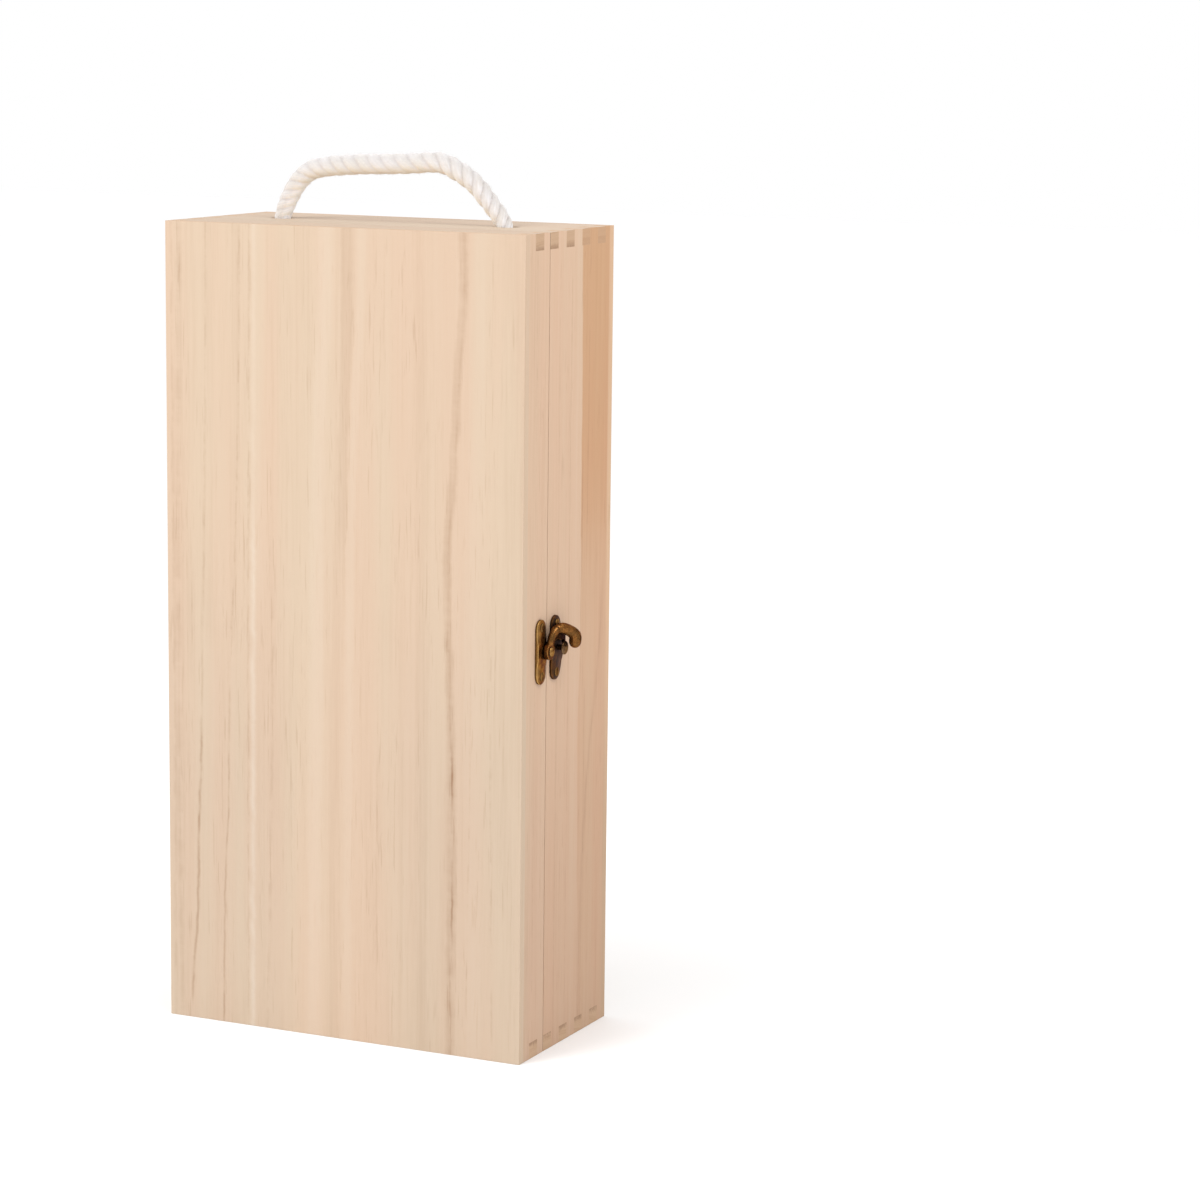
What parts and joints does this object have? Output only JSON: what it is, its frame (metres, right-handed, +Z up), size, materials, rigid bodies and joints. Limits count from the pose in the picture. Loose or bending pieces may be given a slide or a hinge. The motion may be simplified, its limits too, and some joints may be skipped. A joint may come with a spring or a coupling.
{
  "type": "wooden wine box",
  "caption": "Upright wooden box for wine bottles with a side-hinged front lid, a hook latch, a divider inside and a twisted rope handle on top.",
  "frame": {"origin": "middle of the footprint of the closed box, on the plane that it stands on", "axes": "+Z up along the height, the front panel looks towards -Y, the latch is on the +X side and the hinges on the -X side"},
  "size_m": [0.1871, 0.085, 0.3797],
  "materials": {
    "front_panel_wood": "bare sanded pale wood, straight vertical grain",
    "side_board_wood": "bare sanded pale wood, straight vertical grain",
    "end_board_wood": "bare sanded pale wood, grain across, end grain showing at the finger joints",
    "back_panel_wood": "bare sanded pale wood, straight vertical grain",
    "divider_wood": "bare sanded pale wood",
    "hinge_bronze": "antique bronze plating, dark in the recesses",
    "latch_bronze": "antique bronze plating, rubbed bright on the edges",
    "cotton_rope": "natural cotton, three twisted strands"
  },
  "bodies": {
    "carcass": {"back_panel": "back_panel_wood", "body_side_left": "side_board_wood", "body_side_right": "side_board_wood", "body_top_end": "end_board_wood", "body_bottom_end": "end_board_wood", "divider": "divider_wood", "upper_hinge_body_leaf": "hinge_bronze", "lower_hinge_body_leaf": "hinge_bronze", "upper_hinge_pin": "hinge_bronze", "lower_hinge_pin": "hinge_bronze", "hinge_body_screws": "hinge_bronze", "latch_body_plate": "latch_bronze", "latch_catch_knob": "latch_bronze", "latch_body_screws": "latch_bronze", "rope_knot_left": "cotton_rope", "rope_knot_right": "cotton_rope"},
    "lid": {"lid_panel": "front_panel_wood", "lid_side_left": "side_board_wood", "lid_side_right": "side_board_wood", "lid_top_end": "end_board_wood", "lid_bottom_end": "end_board_wood", "upper_hinge_lid_leaf": "hinge_bronze", "lower_hinge_lid_leaf": "hinge_bronze", "hinge_lid_screws": "hinge_bronze", "latch_lid_plate": "latch_bronze", "latch_pivot_rivet": "latch_bronze", "latch_lid_screws": "latch_bronze"},
    "hook": {"latch_hook": "latch_bronze"},
    "handle": {"rope_handle": "cotton_rope"}
  },
  "joints": [
    {"name": "lid_swing", "type": "hinge", "parent": "carcass", "child": "lid", "pos_m": [-0.0882, -0.0197, 0.175], "axis": [0, 0, -1], "range_deg": [0, 180]},
    {"name": "hook_turn", "type": "hinge", "parent": "lid", "child": "hook", "pos_m": [0.0891, -0.0234, 0.175], "axis": [1, 0, 0], "range_deg": [-8.5, 100]},
    {"name": "handle_swing", "type": "hinge", "parent": "carcass", "child": "handle", "pos_m": [0, 0.004, 0.3548], "axis": [1, 0, 0], "range_deg": [-75, 75], "stiffness_Nm_per_rad": 0.012}
  ]
}
